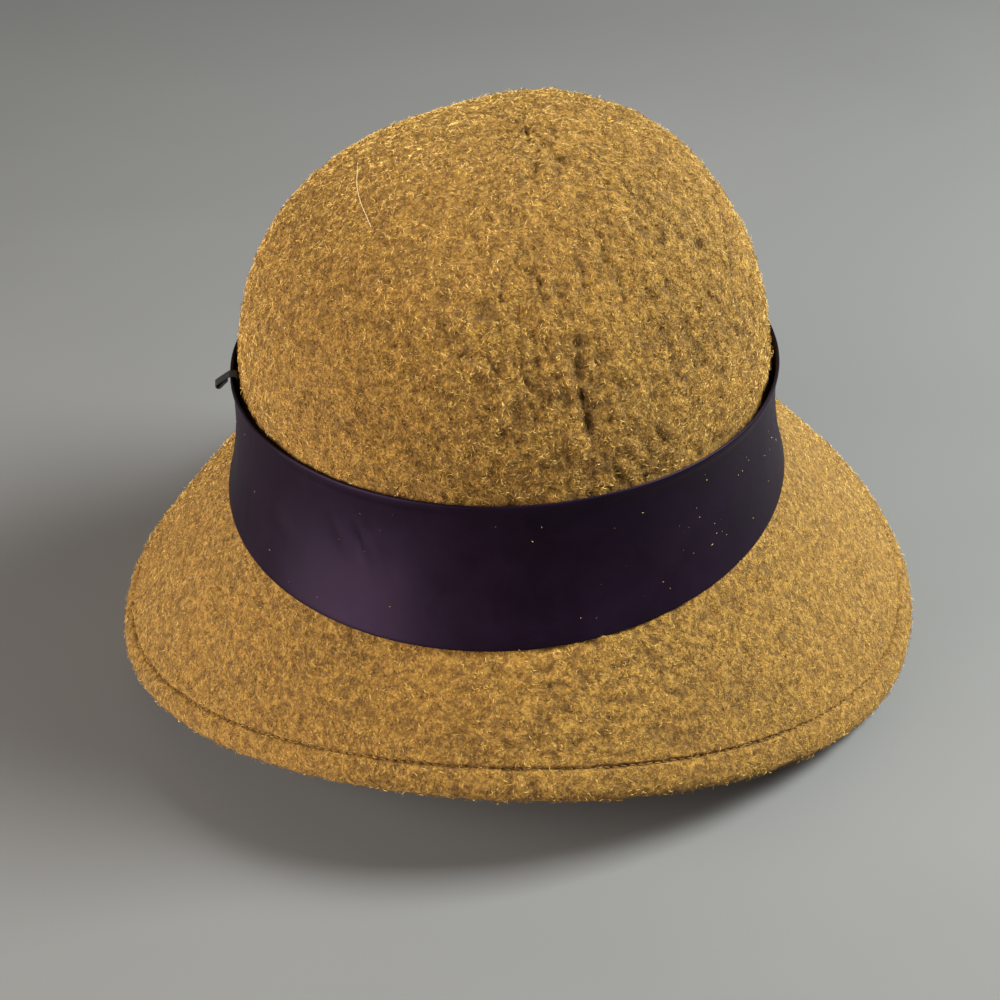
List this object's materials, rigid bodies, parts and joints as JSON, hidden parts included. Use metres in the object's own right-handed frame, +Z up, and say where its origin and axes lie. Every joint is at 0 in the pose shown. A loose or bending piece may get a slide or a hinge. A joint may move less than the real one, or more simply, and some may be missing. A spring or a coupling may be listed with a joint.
{
  "type": "cloche hat",
  "caption": "Felt cloche hat with a round crown, a drooping brim with a turned and stitched edge, a dark satin band and a small ribbon loop on the left.",
  "frame": {"origin": "on the floor under the middle of the hat's outline, where the brim's two sides rest", "axes": "+Z up through the crown, -Y towards the hat's front, +X towards the wearer's left"},
  "size_m": [0.276, 0.2814, 0.1879],
  "materials": {
    "felt": "brushed mustard wool felt, matte with a fine fuzz",
    "satin": "deep aubergine satin with a soft sheen",
    "black_ribbon": "black ribbed ribbon, dull"
  },
  "bodies": {
    "root": {"felt_body": "felt", "hat_band": "satin", "ribbon_loop": "black_ribbon"}
  },
  "joints": []
}
